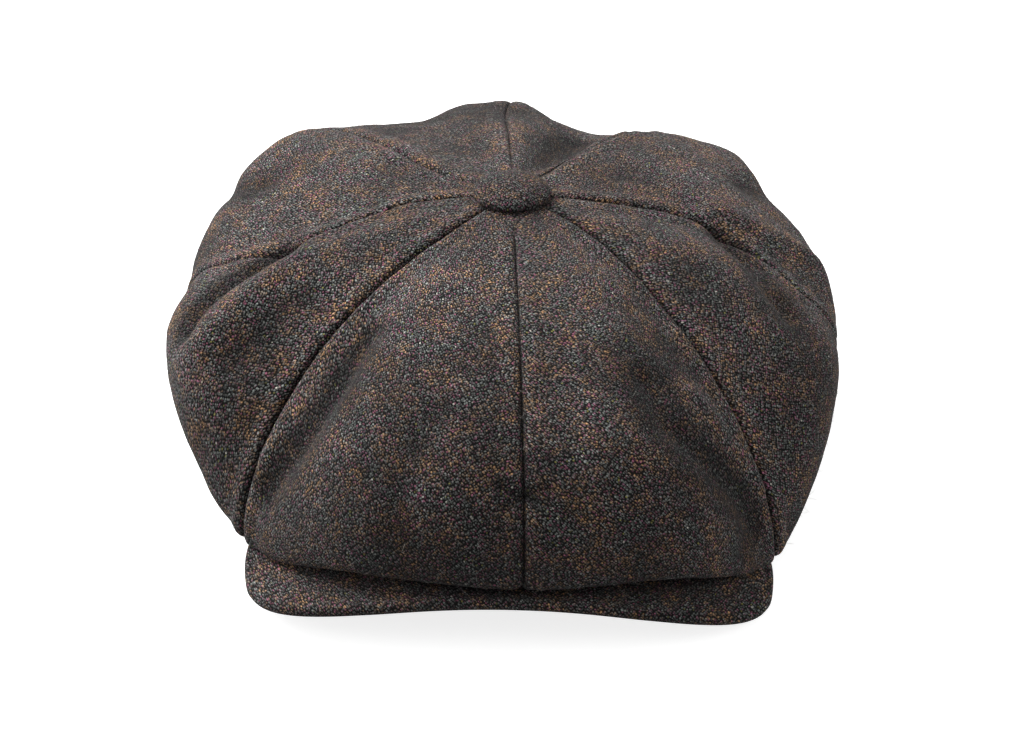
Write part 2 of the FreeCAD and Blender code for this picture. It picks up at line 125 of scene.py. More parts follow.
# Folds and hollows: height (minus is in), half-width, then the line they follow as (bearing, down).
FOLDS = [
    (-5.0, 5.5, [(-78, 0.46), (-75, 0.54), (-74, 0.62), (-73, 0.70), (-70, 0.78)]),
    (2.6, 8.0, [(-71, 0.40), (-67, 0.49), (-64, 0.60), (-64, 0.72)]),
    (-1.8, 8.0, [(-58, 0.45), (-58, 0.57), (-58, 0.68)]),
    (-3.8, 7.0, [(-37, 0.42), (-36, 0.55), (-36.5, 0.64), (-38, 0.72), (-41, 0.82)]),
    (1.4, 5.0, [(-42, 0.45), (-42, 0.60), (-43, 0.76)]),
    (-4.2, 6.5, [(90, 0.45), (80, 0.51), (72, 0.56), (69, 0.63)]),
    (3.0, 8.0, [(98, 0.46), (95, 0.58), (96, 0.76)]),
    (-3.4, 7.5, [(26, 0.50), (26, 0.61), (30, 0.69), (36, 0.80), (39, 0.88)]),
    (1.3, 5.0, [(36, 0.55), (38, 0.68), (42, 0.80)]),
    (-3.0, 8.0, [(149, 0.14), (153, 0.28), (156, 0.42)]),
    (1.8, 6.0, [(141, 0.16), (142, 0.30), (143, 0.48)]),
    (-1.2, 2.2, [(-3.5, 0.735), (0, 0.76), (3.0, 0.785)]),
    (-1.0, 2.0, [(-2.5, 0.79), (0, 0.76), (3.5, 0.74)]),
    (1.2, 9.0, [(14, 0.40), (13, 0.62), (12, 0.80)]),
    (-1.4, 9.0, [(-15, 0.55), (-17, 0.75), (-18, 0.90)]),
    (-2.2, 9.0, [(112, 0.60), (116, 0.80), (118, 0.98)]),
    (-2.4, 8.0, [(-112, 0.62), (-116, 0.82), (-121, 1.00)]),
    (-2.0, 9.0, [(168, 0.62), (171, 0.80), (172, 1.00)]),
    (-2.2, 9.0, [(-160, 0.55), (-163, 0.75), (-161, 0.98)]),
    (1.6, 9.0, [(-172, 0.70), (-170, 0.95)]),
    (-2.6, 14.0, [(-179, 0.48), (-172, 0.66)]),
    (2.4, 13.0, [(-128, 0.66), (-138, 0.74)]),
    (2.4, 13.0, [(120, 0.70), (127, 0.74)]),
    (1.8, 9.0, [(-84, 0.76), (-78, 0.92)]),
    (-2.0, 6.0, [(-100, 1.10), (-88, 1.16), (-78, 1.10)]),
    (-2.0, 6.0, [(82, 1.12), (92, 1.17), (104, 1.10)]),
    (-1.8, 7.0, [(160, 1.20), (178, 1.26), (196, 1.20)]),
]

# Soft waves in the cloth: (height, wavelength)
CROWN_WAVES = [(1.5, 38.0), (0.55, 15.0), (0.2, 6.5)]
PEAK_WAVES = [(0.5, 26.0), (0.18, 9.0)]

# Steps between the pieces' flat coordinates, so that no two show the same part of the tweed
GRAIN_STEP_ACROSS = 300.0
GRAIN_STEP_ALONG = 170.0
GRAIN_FROM_PEAK = 900.0
GRAIN_FROM_BUTTON = 600.0


def around(values, bearing):
    """Smooth closed curve through evenly spaced values, read at bearings."""
    values = np.asarray(values, float)
    place = bearing / 360.0 * len(values)
    first = np.floor(place).astype(int)
    part = place - first
    before, here, after, beyond = [values[(first + step) % len(values)] for step in (-1, 0, 1, 2)]
    slope_in = (after - before) / 2
    slope_out = (beyond - here) / 2
    rise = after - here
    return here + part * (slope_in + part * (3 * rise - 2 * slope_in - slope_out
                                             + part * (slope_in + slope_out - 2 * rise)))


def between_seams(values, bearing):
    """Straight lines between the values at the seams."""
    return np.interp(bearing % 360, np.arange(9) * 45.0, list(values) + [values[0]])


def oval_reach(growth, bearing):
    """Distance to an oval, the head opening's size plus growth, at bearings."""
    half_width, half_length = HEAD_HALF[0] + growth, HEAD_HALF[1] + growth
    angle = np.radians(bearing)
    return half_width * half_length / np.hypot(half_length * np.sin(angle), half_width * np.cos(angle))


def smooth(share):
    """Eased from 0 to 1."""
    share = np.clip(share, 0.0, 1.0)
    return share * share * (3 - 2 * share)


def interleave(seams, middles):
    """One list round the cap from the values at the seams and at the panel middles."""
    return [value for pair in zip(seams, middles) for value in pair]


OVERHANG = interleave(SEAM_OVERHANG, MIDDLE_OVERHANG)
RIM = interleave(SEAM_RIM, MIDDLE_RIM)
FULLNESS = interleave(SEAM_FULLNESS, MIDDLE_FULLNESS)
ROLL = interleave(SEAM_ROLL, MIDDLE_ROLL)
BAND_GROWTH = BAND_HALF_WIDTH - HEAD_HALF[0]


def crown(layer, bearing, down, puff=0.0):
    """Points of the crown's outer face, as in the CAD. puff is how far the panel bulges there."""
    bearing, down = np.broadcast_arrays(np.asarray(bearing, float), np.asarray(down, float))
    upper = np.minimum(down, 1.0) * math.pi / 2
    under = np.maximum(down - 1.0, 0.0) * math.pi / 2
    swing = between_seams(SEAM_SWING, bearing) * np.minimum(1.0, 2.0 - down)
    sine, cosine = np.sin(np.radians(bearing + swing)), np.cos(np.radians(bearing + swing))
    sewn_reach = oval_reach(BAND_GROWTH, bearing + swing) + BAND_GAP
    reach = oval_reach(BAND_GROWTH, bearing) + around(OVERHANG, bearing) - layer["inset"]
    rim = around(RIM, bearing) + layer["lift"]
    power = 2.0 / around(FULLNESS, bearing)
    out = np.sin(upper) ** power
    up = np.maximum(np.cos(upper), 0.0) ** power
    radius = reach * out - (reach - sewn_reach) * (1 - np.cos(under))
    height = rim + (layer["top"] - rim) * up - TOP_DISH * 4 * out * (1 - out)
    roll = around(ROLL, bearing) - layer["roll_less"]
    height = height + (layer["sewn"] - rim) * np.sin(under) ** 2 - roll * np.sin(2 * under) / 2
    bulge = puff * out * np.sin(down * math.pi / 2)
    radius = radius + PUFF_OUT * bulge
    height = height + np.where(down < 1, *PUFF_UP) * bulge * np.abs(np.cos(down * math.pi / 2))
    shift = np.cos(upper)
    return np.stack([radius * sine + BUTTON_OFFSET[0] * shift,
                     -radius * cosine + BUTTON_OFFSET[1] * shift, height], -1)


def crown_outward(layer, bearing, down):
    """Direction square to the crown's plain form, the same on both sides of a seam."""
    aside = crown(layer, bearing + 0.5, down) - crown(layer, bearing - 0.5, down)
    along = (crown(layer, bearing, np.minimum(down + 0.01, 2.0))
             - crown(layer, bearing, np.maximum(down - 0.01, 0.001)))
    outward = np.cross(along, aside)
    return outward / np.linalg.norm(outward, axis=-1, keepdims=True)


def drift(seam, down):
    """How far a seam lies off its even bearing, in degrees, with its corners rounded."""
    places, degrees = zip(*SEAM_DRIFT[seam % 8])
    spread = np.linspace(-0.07, 0.07, 9)
    return sum(np.interp(down + offset, places, degrees) for offset in spread) / len(spread)


def path_length(points):
    """Distance along each row of points, from its start."""
    steps = np.linalg.norm(np.diff(points, axis=0), axis=-1)
    return np.concatenate([np.zeros((1,) + steps.shape[1:]), np.cumsum(steps, 0)])


def fold_relief(points):
    """Height that the folds give at these points of the plain form."""
    relief = np.zeros(points.shape[:-1])
    for height, half_width, line in FOLDS:
        bearings, downs = np.array(line, float).T
        corners = crown(SHELL, bearings % 360, downs)
        nearest = np.full(relief.shape, 1e9)
        for start, end in zip(corners[:-1], corners[1:]):
            run = end - start
            share = np.clip((points - start) @ run / (run @ run), 0.0, 1.0)
            gap = points - start - share[..., None] * run
            nearest = np.minimum(nearest, np.linalg.norm(gap, axis=-1))
        relief += height * np.exp(-(nearest / half_width) ** 1.7)
    return relief


def noise_relief(points, sizes):
    """Sum of smooth noises at these points. sizes are (height, wavelength) pairs."""
    relief = np.zeros(len(points))
    for number, (height, wavelength) in enumerate(sizes):
        offset = Vector((number * 17.3, number * 5.1, 0.0))
        relief += height * np.array([noise.noise(Vector(point) / wavelength + offset) for point in points])
    return relief


def seam_relief(seam, distance, along, down):
    """Height beside one seam: pressed in at the line, raised over the turned edges, then puckered."""
    groove = -SEAM_DEPTH[seam % 8] * np.exp(-(distance / 0.8) ** 1.4)
    shoulder = SEAM_SHOULDER[seam % 8] * np.exp(-((distance - 3.5) / 3.0) ** 2)
    allowance = 0.3 * (1 - smooth((distance - 7.0) / 2.0))
    wave = (np.sin(along / 3.9 + seam + np.sin(along / 13.0)) * np.sin(along / 9.7 + 2 * seam)
            + 0.5 * np.sin(along / 6.3 + 5 * seam))
    pucker = 0.12 * wave * np.exp(-((distance - 8) / 6.0) ** 2)
    return (groove + shoulder + allowance + pucker) * smooth((down - 0.03) / 0.12)


def piece_mesh(name, sections, grain, slot, values, closed_round=False):
    """Closed mesh through closed sections, each a loop of points. Open ends are capped.
    grain is the cloth's own flat coordinates, in millimetres, kept as a UV map. values are how far
    each point stands out or in, which the tweed turns into painted shade in the hollows and lighter wear on
    the raised places."""
    columns, rows = sections.shape[:2]
    column, row = np.meshgrid(np.arange(columns - (not closed_round)), np.arange(rows), indexing="ij")
    corners = [(column, row), (column + 1, row), (column + 1, row + 1), (column, row + 1)]
    faces = np.stack([(a % columns) * rows + b % rows for a, b in corners], -1).reshape(-1, 4)
    flat = np.stack([grain[a, b % rows] for a, b in corners], -2).reshape(-1, 4, 2)
    if not closed_round:
        side = np.arange(rows // 2 - 1)
        cap = np.stack([side, side + 1, rows - 2 - side, rows - 1 - side], -1)
        last = (columns - 1) * rows
        faces = np.concatenate([faces, cap, cap[:, ::-1] + last])
        flat = np.concatenate([flat, grain[0][cap], grain[-1][cap[:, ::-1]]])
    mesh = bpy.data.meshes.new(name)
    mesh.from_pydata((sections.reshape(-1, 3) * MM).tolist(), [], faces.tolist())
    layer = mesh.uv_layers.new(name="grain")
    layer.data.foreach_set("uv", (flat * MM).reshape(-1))
    relief = mesh.attributes.new("relief", "FLOAT", "POINT")
    relief.data.foreach_set("value", values.reshape(-1))
    shell = bmesh.new()
    shell.from_mesh(mesh)
    bmesh.ops.remove_doubles(shell, verts=shell.verts, dist=2e-6)
    bmesh.ops.dissolve_degenerate(shell, edges=shell.edges, dist=1e-7)
    bmesh.ops.recalc_face_normals(shell, faces=shell.faces)
    shell.to_mesh(mesh)
    shell.free()
    mesh.shade_smooth()
    return add_piece(name, mesh, MATERIALS[slot])


def add_piece(name, mesh, material):
    piece = bpy.data.objects.new(name, mesh)
    bpy.context.scene.collection.objects.link(piece)
    mesh.materials.append(material)
    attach(piece, "root")
    return piece


# Materials

class Paint:
    """One node material, built from short calls."""

    def __init__(self, name, roughness, sheen=0.0, specular=0.5):
        self.material = bpy.data.materials.new(name)
        self.material.use_nodes = True
        self.tree = self.material.node_tree
        self.shader = self.tree.nodes["Principled BSDF"]
        self.shader.inputs["Roughness"].default_value = roughness
        self.shader.inputs["Sheen Weight"].default_value = sheen
        self.shader.inputs["Sheen Roughness"].default_value = 0.5
        self.shader.inputs["Sheen Tint"].default_value = (1, 1, 1, 1)
        self.shader.inputs["Specular IOR Level"].default_value = specular

    def add(self, kind, inputs, output=0, **settings):
        node = self.tree.nodes.new("ShaderNode" + kind)
        for key, value in settings.items():
            setattr(node, key, value)
        for key, value in inputs.items():
            if isinstance(value, bpy.types.NodeSocket):
                self.tree.links.new(value, node.inputs[key])
            else:
                node.inputs[key].default_value = value
        return node.outputs[output]

    def math(self, operation, a, b=0.0):
        return self.add("Math", {0: a, 1: b}, operation=operation)

    def mix(self, factor, a, b, blend="MIX"):
        a, b = [(*value, 1) if isinstance(value, tuple) else value for value in (a, b)]
        return self.add("Mix", {0: factor, 6: a, 7: b}, 2, data_type="RGBA", blend_type=blend)

    def spread(self, value, low, high, to_low=0.0, to_high=1.0):
        return self.add("MapRange", {0: value, 1: low, 2: high, 3: to_low, 4: to_high},
                        interpolation_type="SMOOTHSTEP")

    def grain(self, scale=(1, 1, 1), turn=0.0, offset=(0, 0, 0)):
        flat = self.add("UVMap", {}, uv_map="grain")
        turned = self.add("Mapping", {0: flat, 2: (0, 0, math.radians(turn)), 1: offset})
        return self.add("Mapping", {0: turned, 3: scale})

    def noise(self, place, scale, detail=2.0, output=0, roughness=0.5):
        return self.add("TexNoise", {"Vector": place, "Scale": scale, "Detail": detail,
                                     "Roughness": roughness}, output)

    def ramp(self, factor, stops, interpolation="LINEAR"):
        node = self.tree.nodes.new("ShaderNodeValToRGB")
        node.color_ramp.interpolation = interpolation
        elements = node.color_ramp.elements
        while len(elements) < len(stops):
            elements.new(0.5)
        for element, (place, colour) in zip(elements, stops):
            element.position = place
            element.color = (*colour, 1)
        self.tree.links.new(factor, node.inputs[0])
        return node.outputs[0]

    def finish(self, colour, height=None, depth=0.0003):
        self.tree.links.new(colour, self.shader.inputs["Base Color"])
        if height is not None:
            bump = self.add("Bump", {"Height": height, "Distance": depth, "Strength": 1.0})
            self.tree.links.new(bump, self.shader.inputs["Normal"])
        return self.material


def linear(red, green, blue):
    """Linear colour from display values of 0 to 255."""
    return tuple(round(((value / 255 + 0.055) / 1.055) ** 2.4, 4) for value in (red, green, blue))


def make_tweed():
    """Woollen tweed: rows of slanted nubs in mixed colours on a charcoal ground, with loose fibres."""
    paint = Paint("tweed", 0.95, sheen=0.05, specular=0.12)
    flat = paint.grain()
    wander = paint.noise(flat, 260.0, 2.0, output=1)
    place = paint.add("VectorMath", {0: wander, 1: (0.5, 0.5, 0.5)}, operation="SUBTRACT")
    place = paint.add("VectorMath", {0: place, "Scale": 0.0012}, operation="SCALE")
    place = paint.add("VectorMath", {0: flat, 1: place}, operation="ADD")
    place = paint.add("Mapping", {0: place, 2: (0, 0, math.radians(42))})
    place = paint.add("Mapping", {0: place, 3: (1180, 900, 1)})
    cell = {"Vector": place, "Scale": 1.0, "Randomness": 0.7}
    nub = paint.add("TexVoronoi", cell, 0, voronoi_dimensions="2D")
    chance = paint.add("TexVoronoi", cell, 1, voronoi_dimensions="2D")
    parts = paint.tree.nodes.new("ShaderNodeSeparateColor")
    paint.tree.links.new(chance, parts.inputs[0])
    hue, light, size = parts.outputs

    patch = paint.spread(paint.noise(flat, 80.0, 2.5, roughness=0.6), 0.38, 0.62)
    hue = paint.math("ADD", paint.math("MULTIPLY", hue, 0.55), paint.math("MULTIPLY", patch, 0.45))
    wool = paint.ramp(hue, [
        (0.0, linear(146, 112, 80)), (0.12, linear(124, 102, 82)), (0.21, linear(114, 70, 86)),
        (0.25, linear(112, 103, 93)), (0.34, linear(132, 106, 84)), (0.41, linear(82, 82, 82)),
        (0.50, linear(122, 72, 90)), (0.55, linear(110, 112, 109)), (0.67, linear(104, 60, 74)),
        (0.71, linear(97, 101, 98)), (0.83, linear(120, 84, 102)), (0.865, linear(112, 117, 114)),
        (0.93, linear(112, 110, 60)), (0.965, linear(172, 168, 160))], "CONSTANT")
    shine = paint.ramp(light, [(0.0, (0.4,) * 3), (0.6, (0.95,) * 3), (1.0, (1.6,) * 3)])
    wool = paint.mix(1.0, wool, shine, "MULTIPLY")
    fibre = paint.noise(paint.grain((1, 0.3, 1), 38), 3000.0, 3.0, roughness=0.7)
    cross = paint.noise(paint.grain((0.3, 1, 1), 38, (0.3, 0.1, 0)), 3000.0, 3.0, roughness=0.7)
    reach = paint.math("ADD", nub, paint.math("MULTIPLY", size, 0.2))
    reach = paint.math("ADD", reach, paint.math("MULTIPLY", paint.math("SUBTRACT", fibre, 0.5), 0.9))
    shown = paint.spread(reach, 0.60, 0.28)
    ground = paint.mix(patch, linear(21, 18, 15), linear(8, 10, 10))
    colour = paint.mix(shown, ground, wool)
    hair = paint.spread(paint.math("MAXIMUM", fibre, cross), 0.64, 0.80, 0.0, 0.45)
    colour = paint.mix(hair, colour, linear(128, 122, 118))
    relief = paint.add("Attribute", {}, 2, attribute_name="relief", attribute_type="GEOMETRY")
    # Painted shade: the tweed is painted darker in the seam grooves and fold hollows, read from the relief,
    # and lighter on raised places as wear.
    groove_shade_and_wear = paint.spread(relief, -1.5, 0.9, 0.4, 1.12)
    tint = paint.noise(flat, 22.0, 1.0)
    groove_shade_and_wear = paint.math("MULTIPLY", groove_shade_and_wear, paint.spread(tint, 0.3, 0.7, 0.85, 1.15))
    groove_shade_and_wear = paint.math("MULTIPLY", groove_shade_and_wear, paint.spread(patch, 0.0, 1.0, 1.04, 0.88))
    groove_shade_and_wear = paint.math("MULTIPLY", groove_shade_and_wear, paint.spread(cross, 0.34, 0.62, 0.55, 1.5))
    grey = paint.add("CombineColor", {0: groove_shade_and_wear, 1: groove_shade_and_wear, 2: groove_shade_and_wear})
    colour = paint.mix(1.0, colour, grey, "MULTIPLY")
    height = paint.math("ADD", shown, paint.math("MULTIPLY", fibre, 0.7))
    return paint.finish(colour, height, 0.0003)


def make_weave(name, dark, light, spacing, turn, roughness, depth, sheen=0.2, stretch=1.0):
    """Plain woven cloth: two sets of fine threads, with uneven ones and slubs."""
    paint = Paint(name, roughness, sheen=sheen, specular=0.3)
    lines = []
    for number, angle in enumerate((turn, turn + 90)):
        rate = 2 * math.pi / (spacing * MM) / (stretch if number else 1.0)
        across = paint.add("SeparateXYZ", {0: paint.grain((rate, 1, 1), angle)})
        lines.append(paint.math("SINE", across))
    weave = paint.math("MULTIPLY", lines[0], lines[1])
    slub = paint.noise(paint.grain((1, 0.08, 1), turn), 1400.0, 2.0)
    cloud = paint.noise(paint.grain(), 40.0, 2.0)
    mixed = paint.math("ADD", paint.spread(weave, -1.0, 1.0, 0.0, 0.5), paint.math("MULTIPLY", slub, 0.5))
    colour = paint.mix(mixed, dark, light)
    colour = paint.mix(paint.spread(cloud, 0.35, 0.65, 0.0, 0.35), colour, dark)
    height = paint.math("ADD", paint.math("MULTIPLY", weave, 0.5), slub)
    return paint.finish(colour, height, depth)


def make_grosgrain():
    """Ribbed tape for the sweatband, a little shiny, with lighter worn patches where a head has worn it: wear
    and a painted sheen.
    """
    paint = Paint("sweatband_tape", 0.55, sheen=0.3, specular=0.4)
    across = paint.add("SeparateXYZ", {0: paint.grain((2 * math.pi / 0.0011, 1, 1))})
    rib = paint.math("ABSOLUTE", paint.math("SINE", across))
    fibre = paint.noise(paint.grain((1, 0.1, 1)), 5200.0, 2.0)
    worn_and_sheen = paint.spread(paint.noise(paint.grain((1, 2, 1)), 30.0, 3.0), 0.4, 0.7)
    colour = paint.mix(paint.math("MULTIPLY", rib, 0.8), linear(16, 15, 16), linear(52, 50, 52))
    # Worn patches painted lighter: partly wear, partly a painted sheen.
    colour = paint.mix(paint.math("MULTIPLY", worn_and_sheen, 0.4), colour, linear(72, 66, 62))
    return paint.finish(colour, paint.math("ADD", rib, paint.math("MULTIPLY", fibre, 0.3)), 0.0003)


def make_spotted(name, dark, light, scale, roughness, depth, metallic=0.0, stretch=(1, 1, 1)):
    """Fine mottled finish read in the object's own coordinates, for felt, plastic, metal and thread."""
    paint = Paint(name, roughness, specular=0.4)
    paint.shader.inputs["Metallic"].default_value = metallic
    here = paint.add("TexCoord", {}, 3)
    here = paint.add("Mapping", {0: here, 3: stretch})
    fine = paint.noise(here, scale, 4.0)
    broad = paint.noise(here, scale / 14, 2.0)
    mixed = paint.math("ADD", paint.math("MULTIPLY", fine, 0.6), paint.math("MULTIPLY", broad, 0.4))
    colour = paint.mix(paint.spread(mixed, 0.3, 0.7), dark, light)
    return paint.finish(colour, fine, depth)


MATERIALS = {
    "tweed": make_tweed(),
    "lining_cloth": make_weave("lining_cloth", linear(18, 16, 17), linear(62, 56, 58), 0.7, 25, 0.34,
                               0.00006, 0.1, 2.0),
    "interlining_canvas": make_weave("interlining_canvas", linear(150, 142, 128), linear(206, 198, 180),
                                     1.1, 0, 0.9, 0.00025),
    "sweatband_tape": make_grosgrain(),
    "board_plastic": make_spotted("board_plastic", linear(70, 70, 72), linear(96, 96, 98), 900.0, 0.5,
                                  0.00005),
    "felt": make_spotted("felt", linear(92, 90, 90), linear(142, 138, 136), 2600.0, 0.95, 0.0003),
    "button_metal": make_spotted("button_metal", linear(168, 168, 172), linear(206, 206, 208), 1500.0, 0.35,
                                 0.00003, 1.0, (1, 8, 1)),
    "thread": make_spotted("thread", linear(40, 36, 34), linear(84, 76, 70), 5200.0, 0.8, 0.0001, 0.0,
                           (1, 1, 3)),
}


# Crown and lining

def make_panel(layer, panel, thickness, name, slot, half_columns, row_step, seam_share, node):
    """One wedge of cloth from the button to the band, closed, with its folds and turned edges."""
    middle = panel * 45 + 22.5
    start = 2 / math.pi * math.asin((layer["hole"] / 150.0) ** 1.15)
    trial = np.linspace(start, 2.0, 600)
    lengths = path_length(crown(layer, np.full(600, middle), trial, PANEL_PUFF[panel]))
    rows = int(lengths[-1] / row_step)
    down = np.interp(np.linspace(0, lengths[-1], rows), lengths, trial)

    def bearing_at(across, down):
        low = panel * 45 + drift(panel, down)
        high = panel * 45 + 45 + drift(panel + 1, down)
        return low + (high - low) * (across + 1) / 2

    def bulge(across):
        return PANEL_PUFF[panel] * (1 - across ** 2)

    trial = np.linspace(-1, 1, 25)[:, None]
    half_width = path_length(crown(layer, bearing_at(trial, down), down, bulge(trial)))[-1] / 2
    share = np.linspace(0, 1, half_columns + 1)[:, None]
    first = np.clip(0.35 * half_columns / half_width, 0.1, 1.0)
    inward = share * (first + (1 - first) * share)
    across = np.concatenate([inward - 1, (1 - inward)[-2::-1]])
    bearing = bearing_at(across, down)
    plain = crown(layer, bearing, down, bulge(across))
    outward = crown_outward(layer, bearing, down)
    along = np.broadcast_to(path_length(plain[half_columns]), across.shape)

    anchor = crown(SHELL, bearing, down)
    relief = fold_relief(anchor)
    relief += noise_relief(anchor.reshape(-1, 3), CROWN_WAVES).reshape(across.shape)
    hang = smooth((down - 0.05) / 0.2) * smooth((2.0 - down) / 0.25)
    relief = relief * hang
    low_distance = (1 + across) * half_width
    high_distance = (1 - across) * half_width
    seams = (seam_relief(panel, low_distance, along, down)
             + seam_relief(panel + 1, high_distance, along, down)) * seam_share
    relief += seams * (0.4 + 0.6 * smooth((2.0 - down) / 0.3))
    outside = plain + outward * relief[..., None]
    inside = outside - outward * thickness
    sections = np.concatenate([outside, inside[:, ::-1]], 1)
    sideways = path_length(outside)
    sideways = sideways - sideways[half_columns]
    downward = path_length(outside[half_columns])
    flat = np.stack([sideways + panel * GRAIN_STEP_ACROSS,
                     np.broadcast_to(downward, across.shape) + panel * GRAIN_STEP_ALONG], -1)
    grain = np.concatenate([flat, flat[:, ::-1]], 1)
    values = np.concatenate([relief, relief[:, ::-1]], 1)
    piece = piece_mesh(name, sections, grain, slot, values)
    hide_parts(node)
    cells = np.cross(plain[1:, :-1] - plain[:-1, 1:], plain[1:, 1:] - plain[:-1, :-1])
    area = np.linalg.norm(cells, axis=-1).sum() / 2
    size = (2 * half_width.max(), along[0, -1])
    if layer is SHELL:
        centres = (outside[1:, 1:] + outside[:-1, :-1]) / 2
        shares = np.linalg.norm(cells, axis=-1)
        FUZZ_ROOTS.append([grid.reshape(-1, *grid.shape[2:]) for grid in (centres, outward[1:, 1:], shares)])
    return piece, size, area


FUZZ_ROOTS = []                             # each crown panel's points, normals and shares of its area
for panel, panel_name in enumerate(PANEL_NAMES):
    lining, size, area = make_panel(LINING, panel, LINING_THICKNESS, "lining_" + panel_name, "lining_cloth",
                                    20, 2.6, 0.25, "lining_panel_" + panel_name)
    cloth, size, area = make_panel(SHELL, panel, TWEED_THICKNESS, "crown_" + panel_name, "tweed",
                                   44, 1.3, 1.0, "crown_panel_" + panel_name)


# Loose wool fibres on the crown

def make_fuzz_wool():
    """Single wool fibres, mostly pale grey, some brown, maroon or olive."""
    paint = Paint("wool_fuzz", 0.7, sheen=0.3, specular=0.3)
    chance = paint.noise(paint.grain(), 60.0, 3.0)
    tone = paint.ramp(paint.spread(chance, 0.3, 0.7), [
        (0.0, linear(112, 84, 66)), (0.25, linear(150, 146, 142)), (0.45, linear(96, 92, 92)),
        (0.6, linear(168, 160, 152)), (0.75, linear(110, 80, 96)), (0.9, linear(116, 114, 78))], "CONSTANT")
    along = paint.noise(paint.grain(), 4000.0, 2.0)
    return paint.finish(paint.mix(along, linear(70, 66, 64), tone), along, 0.00002)


FUZZ_COUNT = 7500
FUZZ_LENGTH = 2.8
FUZZ_RADIUS = 0.055
FUZZ_RINGS = 4
FUZZ_SEED = 23


def make_fuzz(name, count, length, radius):
    """Curled fibres, each a thin closed spindle rooted in the cloth."""
    centres, normals, shares = [np.concatenate(grids) for grids in zip(*FUZZ_ROOTS)]
    chance = np.random.default_rng(FUZZ_SEED)
    pick = chance.choice(len(centres), count, p=shares / shares.sum())
    point = centres[pick]
    normal = normals[pick]
    sideways = np.cross(normal, chance.normal(size=(count, 3)))
    sideways /= np.linalg.norm(sideways, axis=-1)[:, None]
    lift = 0.7 * chance.uniform(0.05, 1.0, (count, 1)) ** 2
    heading = sideways * (1 - lift) + normal * lift
    curl = chance.normal(size=(count, 3)) * 0.5
    step = length * chance.uniform(0.4, 1.4, (count, 1)) / (FUZZ_RINGS - 1)
    rings = []
    for ring in range(FUZZ_RINGS):
        heading = heading + curl - normal * 0.12
        heading /= np.linalg.norm(heading, axis=-1)[:, None]
        first = np.cross(heading, normal + 0.01)
        first /= np.linalg.norm(first, axis=-1)[:, None]
        second = np.cross(heading, first)
        width = radius * math.sin(math.pi * (ring + 0.5) / FUZZ_RINGS) ** 0.5
        corners = [point + width * (first * math.cos(turn) + second * math.sin(turn))
                   for turn in np.radians([0, 120, 240])]
        rings.append(np.stack(corners, 1))
        point = point + heading * step
    corners = np.concatenate(rings, 1)
    start = np.arange(count)[:, None, None] * FUZZ_RINGS * 3
    around_ring = [(turn, (turn + 1) % 3) for turn in range(3)]
    side = np.array([[ring * 3 + a, ring * 3 + b, ring * 3 + 3 + b, ring * 3 + 3 + a]
                     for ring in range(FUZZ_RINGS - 1) for a, b in around_ring])
    ends = np.array([[2, 1, 0], [0, 1, 2]]) + np.array([[0], [FUZZ_RINGS * 3 - 3]])
    faces = (start + side).reshape(-1, 4).tolist() + (start + ends).reshape(-1, 3).tolist()
    mesh = bpy.data.meshes.new(name)
    mesh.from_pydata((corners.reshape(-1, 3) * MM).tolist(), [], faces)
    grain = chance.uniform(0, 1, (count, 2))
    owner = np.empty(len(mesh.loops), int)
    mesh.loops.foreach_get("vertex_index", owner)
    mesh.uv_layers.new(name="grain").data.foreach_set("uv", grain[owner // (FUZZ_RINGS * 3)].reshape(-1))
    return add_piece(name, mesh, make_fuzz_wool())


make_fuzz("wool_fuzz", FUZZ_COUNT, FUZZ_LENGTH, FUZZ_RADIUS)


# Band, in three layers

def peak_height(x, y):
    """Height of the peak's top face, carried on round the band down to the ears."""
    sag = PEAK_ARCH_RADIUS - np.sqrt(PEAK_ARCH_RADIUS ** 2 - (x - PEAK_CREST_SHIFT) ** 2)
    forward = np.maximum(-y - BAND_HALF_LENGTH, 0.0) / PEAK_DEPTH
    front = PEAK_CREST - sag - PEAK_FALL * forward
    tip_y = -BAND_HALF_LENGTH * math.cos(math.radians(PEAK_TIP_BEARING))
    kept = 1 - smooth((y - tip_y) / PEAK_RETURN_LENGTH)
    return (front + PEAK_RETURN_CLEAR) * kept - PEAK_RETURN_CLEAR


def make_band(name, node, growth, thickness, low, high, peak_depth, slot, wave, held, rests_on):
    """Upright oval ring of cloth with rounded edges, ending on the peak at the front."""
    columns = 480
    bearing = np.linspace(0, 360, columns, endpoint=False)[:, None]
    section_rows = 24
    up = np.linspace(0, 1, section_rows)
    edge = np.minimum(up, 1 - up) * (high - low)
    corner = np.clip(edge / (thickness / 2), 0, 1)
    rounding = thickness / 2 * (1 - np.sqrt(np.clip(1 - (1 - corner) ** 2, 0, 1)))
    points = []
    for place in (thickness - rounding, rounding):
        reach = oval_reach(growth + place, bearing)
        x, y = reach * np.sin(np.radians(bearing)), -reach * np.cos(np.radians(bearing))
        bottom = np.maximum(low, peak_height(x, y) - peak_depth)
        height = bottom + (high - bottom) * up
        ripple = wave * np.sin(np.radians(bearing) * 9 + 3 * up) * np.sin(math.pi * up)
        points.append(np.stack([x * (1 + ripple / 90), y * (1 + ripple / 90), height], -1))
    sections = np.concatenate([points[0], points[1][:, ::-1]], 1)
    length = path_length(np.concatenate([points[0][:, 0], points[0][:1, 0]]))
    flat = np.stack(np.broadcast_arrays(length[:, None], points[0][..., 2][[*range(columns), 0]]), -1)
    piece = piece_mesh(name, sections, np.concatenate([flat, flat[:, ::-1]], 1), slot,
                       np.zeros(sections.shape[:2]), closed_round=True)
    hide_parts(node)
    return piece


